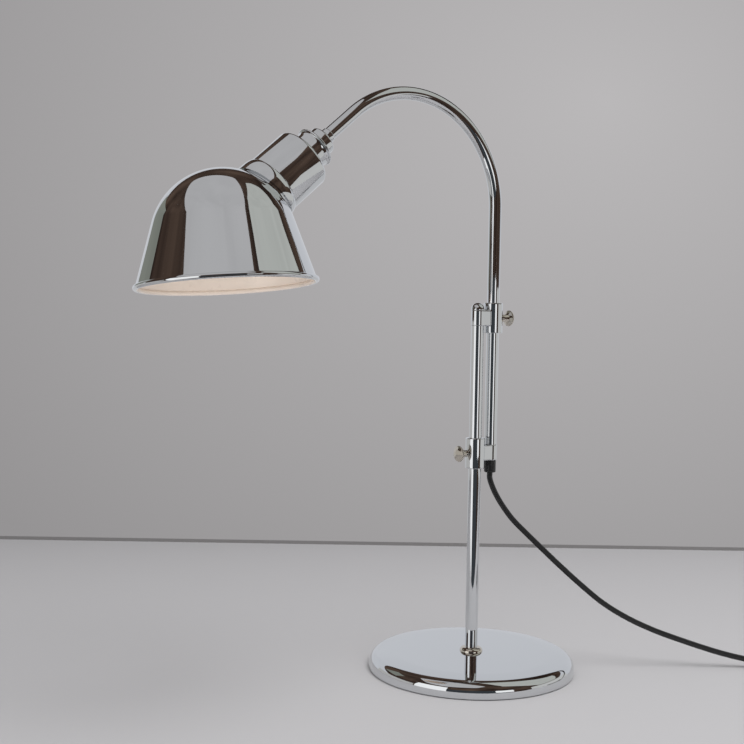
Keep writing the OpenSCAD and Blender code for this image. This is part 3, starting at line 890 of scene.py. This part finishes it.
# Bell: a round crown running straight into a flared skirt with a rolled rim. A short spout on
# its shoulder enters the lampholder's ring.
bellValues = {
    "high": 96,
    "crown": 61,
    "flare": 17.3,
    "sheet": 1,
    "rim": 2.3,
    "rimGap": 0.3,
    "enamelEdge": 0.35,  # where on the rim the enamel ends, as a share of its radius
    "tilt": 51,
    "axesMeet": 126,
    "rimBeyond": 46,
    "spoutReach": 27,
    "spoutStart": 69.9,
    "spoutLong": 34,
    "holeBefore": 5,
    "holeBeyond": 40,
    "steps": 240,
}
bellFrame = (headFrame @ move(0, 0, bellValues["axesMeet"]) @ turn(180 - bellValues["tilt"], "Y")
             @ move(0, 0, -bellValues["rimBeyond"]))


def bellSide(values, off, bottom):
    flare = math.radians(values["flare"])
    middle = (0, values["high"] - values["crown"])
    side = arcPoints(middle, values["crown"] - off, 0, 90 - values["flare"], 40)
    reach, height = side[-1]
    return side + [(reach + (height - bottom) * math.tan(flare), bottom)]


# The bell's whole inside as one solid, smaller than its outer face by off
def bellSolid(values, off):
    return turned(bellSide(values, off, 0) + [(0, 0)], closed=False, steps=values["steps"])


# Flared ring between the cup and the bell, its lower edge cut to follow the shoulder
ringValues = {"wall": 1.8, "long": 30, "lipReach": 20, "flareHigh": 9, "gap": 2.2}


def makeRing(values):
    cup, top = holderValues["cupReach"], holderValues["cupLow"]
    spout, lip = bellValues["spoutReach"], bellValues["spoutStart"]
    reach, end = spout + values["wall"], top + values["long"]
    flare = quarterCurve((cup, top + values["flareHigh"]), reach - cup, values["flareHigh"], 12)
    ring = turned([(values["lipReach"], top)] + flare
                  + [(reach, end), (spout, end), (spout, lip), (values["lipReach"], lip)])
    ring = makePiece("shadeRing", "shade_ring", ring, headFrame)
    shoulder = makeObject("shoulder", bellSolid(bellValues, -values["gap"]), bellFrame, [chrome])
    combine(ring, shoulder, "DIFFERENCE")


# Enamel on the faces that look into the bell, chrome on the others
def paintInside(bm, values, beadMid):
    crownMid = Vector((0, 0, values["high"] - values["crown"]))
    slope = math.tan(math.radians(values["flare"]))
    for face in bm.faces:
        centre = face.calc_center_median()
        reach = centre.xy.length
        outwards = centre - crownMid
        if outwards.z < 0:
            outwards = Vector((centre.x, centre.y, reach * slope))
        inside = face.normal.dot(outwards) < 0
        if (Vector((reach, centre.z)) - Vector(beadMid)).length < values["rim"]:
            inside = reach < beadMid[0] - values["rim"] * values["enamelEdge"]
        face.material_index = int(inside)


def makeBell(values):
    sheet, rim, flare, gap = values["sheet"], values["rim"], values["flare"], values["rimGap"]
    beadMid = (bellSide(values, 0, 0)[-1][0] - sheet / 2, 0)
    meet = math.degrees(math.asin(sheet / 2 / rim))
    bead = arcPoints(beadMid, rim, meet - flare, 360 - meet - flare, 36)
    outer = bellSide(values, 0, bead[0][1] + gap)
    inner = bellSide(values, sheet, bead[-1][1] + gap)
    bm = turned(outer + bead + inner[::-1], closed=False, steps=values["steps"])
    paintInside(bm, values, beadMid)
    bell = makeObject("bellShade", bm, bellFrame, [chrome, enamel])
    reach, start = values["spoutReach"], values["spoutStart"]
    spout = makeObject("spout", rod(reach, start, start + values["spoutLong"]), headFrame,
                       [chrome])
    core = makeObject("core", bellSolid(values, sheet / 2), bellFrame, [chrome])
    combine(spout, core, "DIFFERENCE")
    combine(bell, spout, "UNION")
    hole = rod(reach - sheet, start - values["holeBefore"], start + values["holeBeyond"])
    combine(bell, makeObject("hole", hole, headFrame, [enamel]), "DIFFERENCE")
    standFor(bell, "shade")


makeRing(ringValues)
makeBell(bellValues)
print("bell spun")


# Round bulb of inside-frosted glass
bulbValues = {"radius": 22.5, "tip": 111, "seat": 64, "neck": 12.4, "neckAngle": 148, "wall": 0.8}


def makeBulb(values):
    radius, wall, neck = values["radius"], values["wall"], values["neck"]
    middle = (0, values["tip"] - radius)
    outer = arcPoints(middle, radius, 0, values["neckAngle"], 40)
    inner = arcPoints(middle, radius - wall, values["neckAngle"], 0, 40)
    glass = turned(outer + [(neck, values["seat"]), (neck - wall, values["seat"])] + inner,
                   closed=False)
    makePiece("bulb", "bulb_glass", glass, headFrame)


makeBulb(bulbValues)
print("bulb blown")


# Stage: a floor and a wall, laid out from the lamp as (right, away, up) for someone at the camera
stageFrame = turn(cameraValues["pan"], "Z")
stageValues = {
    "floor": "#BCBBBD",
    "floorFront": -345,
    "wallAway": 600,
    "wallHigh": 1000,
    "wide": 4000,
    "wallPale": "#BAB8B9",
    "wallDeep": "#959394",
    "glow": (234, 600, 654),
    "glowReach": 1188,
    "glowSquash": 1.3,
    # edge and the two lines after it: colour, height and gap from the wall of a thin dark strip, a
    # painted shadow where floor meets wall
    "edge": "#8A8888",
    "shadowStripHigh": 5,
    "shadowStripGap": 1,
}
rays = ("camera", "diffuse", "glossy", "shadow", "transmission")


def stageSheet(name, corners, material, seenBy=rays):
    bm = bmesh.new()
    bm.faces.new([bm.verts.new(c) for c in corners])
    sheet = makeObject(name, bm, stageFrame, [material])
    for ray in rays:
        setattr(sheet, "visible_" + ray, ray in seenBy)


# A level sheet, as wide to the left as to the right
def levelSheet(wide, near, far, height):
    return [(-wide, near, height), (wide, near, height), (wide, far, height), (-wide, far, height)]


# An upright sheet over the line from left to right
def uprightSheet(left, right, low, high):
    return [(*left, low), (*right, low), (*right, high), (*left, high)]


# Shows a paint only from its front, so that a sheet blocks no view from behind
def endStagePaint(tree, paint):
    back = addNode(tree, "NewGeometry").outputs["Backfacing"]
    clear = addNode(tree, "BsdfTransparent")
    shown = addNode(tree, "MixShader", {0: back, 1: paint.outputs[0], 2: clear.outputs[0]})
    addNode(tree, "OutputMaterial", {"Surface": shown.outputs[0]})


# Matt paint or paper
def stagePaint(name, colour):
    material, tree = newMaterial(name)
    endStagePaint(tree, addNode(tree, "BsdfDiffuse", {"Color": hexColour(colour)}))
    return material


# Wall paint that is paler round one spot, where the studio light falls on it
def wallPaint(values):
    material, tree = newMaterial("wallPaint")
    spot = addNode(tree, "TexCoord").outputs["Object"]
    middle = stageFrame @ Vector(values["glow"]) * mm
    away = addNode(tree, "VectorMath", {0: spot, 1: middle}, operation="SUBTRACT")
    taller = addNode(tree, "VectorMath", {0: away.outputs[0], 1: (1, 1, values["glowSquash"])},
                     operation="MULTIPLY")
    reach = addNode(tree, "VectorMath", {0: taller.outputs[0]}, operation="LENGTH")
    share = addNode(tree, "MapRange", {"Value": reach.outputs["Value"],
                                       "From Max": values["glowReach"] * mm})
    tone = addNode(tree, "Mix", {0: share.outputs[0], 6: hexColour(values["wallPale"]),
                                 7: hexColour(values["wallDeep"])}, data_type="RGBA")
    seen = addNode(tree, "Emission", {"Color": tone.outputs[2]})
    paint = addNode(tree, "BsdfDiffuse", {"Color": tone.outputs[2]})
    paths = addNode(tree, "LightPath")
    direct = addNode(tree, "Math", {0: paths.outputs["Is Camera Ray"],
                                    1: paths.outputs["Is Transmission Ray"]}, operation="MAXIMUM")
    endStagePaint(tree, addNode(tree, "MixShader", {0: direct.outputs[0], 1: paint.outputs[0],
                                                    2: seen.outputs[0]}))
    return material


def makeStage(values):
    wide, front, away = values["wide"], values["floorFront"], values["wallAway"]
    notMirrored = ("camera", "diffuse", "shadow", "transmission")
    floor = stagePaint("floorPaper", values["floor"])
    stageSheet("floor", levelSheet(wide, front, away, 0), floor)
    stageSheet("floorNear", levelSheet(wide, -wide, front, 0), floor, notMirrored)
    stageSheet("floorFar", levelSheet(wide, away, wide, 0), floor, notMirrored)
    stageSheet("wall", uprightSheet((-wide, away), (wide, away), 0, values["wallHigh"]),
               wallPaint(values), notMirrored)
    # A thin dark strip just in front of the wall, seen only by the camera: a painted shadow along
    # the line where floor and wall meet
    near = away - values["shadowStripGap"]
    stageSheet("paintedEdgeShadow", uprightSheet((-wide, near), (wide, near), 0, values["shadowStripHigh"]),
               stagePaint("edgeShade", values["edge"]), ("camera",))


# The room that shows only in the chrome. Two panels hang over the bell, their outlines as (right,
# near) for each millimetre of height over it. The upright ones stand between two bearings from the
# lamp, counted from the camera's direction to the right, at a distance and from low to high.
panelValues = {
    "bell": (-223, -145, 396),
    "overheadUp": 500,
    "overhead": [(-1.28, 1.0, 0), (-1.22, 0.55, 0.1), (-0.56, -0.58, 0.15), (0.095, -0.345, 0.15),
                 (0.74, 0.72, 0.05), (0.8, 0.85, 0.05), (0.55, 1.6, 0.3), (-1.0, 1.7, 0.3)],
    "sideUp": 1200,
    "side": [(0.3, -0.35), (0.55, 0.21), (0.805, 0.54), (0.844, 0.615), (2.2, 0.8), (4, 0.8),
             (4, -1.1), (1.65, -1.1), (1.49, -0.86), (1.15, -0.62), (0.52, -0.57), (0.37, -0.47)],
    "farWide": 9000,
    "farAway": 3000,
    "farHigh": 2360,
    "farFloorUp": 1,
    "screen": {"left": (-885, 90), "right": (-673, 391), "low": 380, "high": 740},
    "rightBoard": {"start": 62, "end": 122, "distance": 1500, "low": 0, "high": 400},
    "leftBoard": {"start": -125, "end": -68, "distance": 1500, "low": 0, "high": 330},
    "roomSlate": {"start": -30, "end": 38, "distance": 1700, "low": -900, "high": 420},
    "leftStrip": {"start": -66, "end": -30, "distance": 1500, "low": -700, "high": 850},
    "rightStrip": {"start": 16, "end": 41, "distance": 1500, "low": 30, "high": 420},
}
# What the panels are covered with, and how much its brightness varies over folds of a size
coverValues = {
    "panelCloth": {"colour": "#BDBCBD", "folds": 0.05, "foldSize": 400},
    "panelBoard": {"colour": "#BDBFBA", "folds": 0.06, "foldSize": 400},
    "farPlaster": {"colour": "#D0D2D7", "folds": 0.03, "foldSize": 1500},
    "screenCloth": {"colour": "#858880", "folds": 0.12, "foldSize": 300},
    "boardPaint": {"colour": "#CBCBC9", "folds": 0.04, "foldSize": 400},
    "farFloorPaper": {"colour": "#C6C7C9", "folds": 0.03, "foldSize": 900},
    "leftBoardPaint": {"colour": "#BEBDBB", "folds": 0.04, "foldSize": 400},
    "slateCloth": {"colour": "#3C4044", "folds": 0.15, "foldSize": 300},
    "stripLight": {"colour": "#FFFFFF", "folds": 0, "foldSize": 400, "strength": 1.1},
}


# A panel that glows at its own colour, as a lit board or cloth does in a mirror
def panelLight(name, colour, folds, foldSize, strength=1.0):
    material, tree = newMaterial(name)
    material.cycles.emission_sampling = "NONE"
    spot = addNode(tree, "TexCoord").outputs["Object"]
    fold = addNode(tree, "TexNoise", {"Vector": spot, "Scale": patternScale(foldSize),
                                      "Detail": 3.0, "Distortion": 0.8})
    level = addNode(tree, "MapRange", {"Value": fold.outputs["Fac"], "From Min": 0.3,
                                       "From Max": 0.7, "To Min": strength * (1 - folds),
                                       "To Max": strength * (1 + folds)})
    shader = addNode(tree, "Emission", {"Color": hexColour(colour), "Strength": level.outputs[0]})
    addNode(tree, "OutputMaterial", {"Surface": shader.outputs[0]})
    return material


def overBell(outline, up):
    right, away, height = panelValues["bell"]
    return [(right + x * up, away - near * up, height + up) for x, near in outline]


def bearingSheet(start, end, distance, low, high):
    left, right = [(distance * x, -distance * y) for x, y in (heading(start), heading(end))]
    return uprightSheet(left, right, low, high)


def makePanels(values):
    wide, away = values["farWide"], values["farAway"]
    panels = {
        "overheadPanel": ("panelCloth",
                          overBell(roundCorners(values["overhead"]), values["overheadUp"])),
        "sidePanel": ("panelBoard", overBell(values["side"], values["sideUp"])),
        "farWall": ("farPlaster",
                    uprightSheet((-wide, away), (wide, away), 0, values["farHigh"])),
        "leftScreen": ("screenCloth", uprightSheet(**values["screen"])),
        "rightBoard": ("boardPaint", bearingSheet(**values["rightBoard"])),
        "farFloor": ("farFloorPaper",
                     levelSheet(wide, stageValues["wallAway"], away, values["farFloorUp"])),
        "leftBoard": ("leftBoardPaint", bearingSheet(**values["leftBoard"])),
        "roomSlate": ("slateCloth", bearingSheet(**values["roomSlate"])),
        "leftStrip": ("stripLight", bearingSheet(**values["leftStrip"])),
        "rightStrip": ("stripLight", bearingSheet(**values["rightStrip"])),
    }
    covers = {name: panelLight(name, **cover) for name, cover in coverValues.items()}
    for name, (cover, corners) in panels.items():
        stageSheet(name, corners, covers[cover], ("glossy",))


# Plain white light from all round, and in the chrome the warm dark of the room behind the panels
worldValues = {"dark": "#2E2420", "light": "#5A4A40", "blotches": 2.2, "sky": 0.62}


def makeWorld(values):
    world = bpy.data.worlds.new("room")
    world.use_nodes = True
    scene.world = world
    tree = world.node_tree
    tree.nodes.clear()
    spot = addNode(tree, "TexCoord").outputs["Generated"]
    blotch = addNode(tree, "TexNoise", {"Vector": spot, "Scale": values["blotches"],
                                        "Detail": 3.0})
    share = addNode(tree, "MapRange", {"Value": blotch.outputs["Fac"], "From Min": 0.4,
                                       "From Max": 0.7})
    room = addNode(tree, "Mix", {0: share.outputs[0], 6: hexColour(values["dark"]),
                                 7: hexColour(values["light"])}, data_type="RGBA")
    mirrored = addNode(tree, "Background", {"Color": room.outputs[2], "Strength": 1.0})
    daylight = addNode(tree, "Background", {"Color": (1, 1, 1, 1), "Strength": values["sky"]})
    paths = addNode(tree, "LightPath")
    both = addNode(tree, "MixShader", {0: paths.outputs["Is Glossy Ray"], 1: daylight.outputs[0],
                                       2: mirrored.outputs[0]})
    addNode(tree, "OutputWorld", {"Surface": both.outputs[0]})


# A big softbox overhead and a small fill low in front, which reaches into the bell
lampValues = {
    "softbox": {"place": (450, -650, 1900), "aim": (450, 0, 0), "size": 1600, "energy": 25.5,
                "spread": 180},
    "fill": {"place": (-150, -1100, 120), "aim": (-220, -150, 430), "size": 200, "energy": 0.18,
             "spread": 40},
}


def makeLamp(name, values):
    data = bpy.data.lights.new(name, "AREA")
    data.shape = "DISK"
    data.size = values["size"] * mm
    data.energy = values["energy"]
    data.spread = math.radians(values["spread"])
    place, aim = Vector(values["place"]) * mm, Vector(values["aim"]) * mm
    looking = (aim - place).to_track_quat("-Z", "Y").to_matrix().to_4x4()
    lamp = bpy.data.objects.new(name, data)
    lamp.matrix_world = stageFrame @ Matrix.Translation(place) @ looking
    lamp.visible_glossy = False
    scene.collection.objects.link(lamp)


makeWorld(worldValues)
makeStage(stageValues)
makePanels(panelValues)
for name, values in lampValues.items():
    makeLamp(name, values)
scene.view_settings.view_transform = "Standard"
print("stage set")
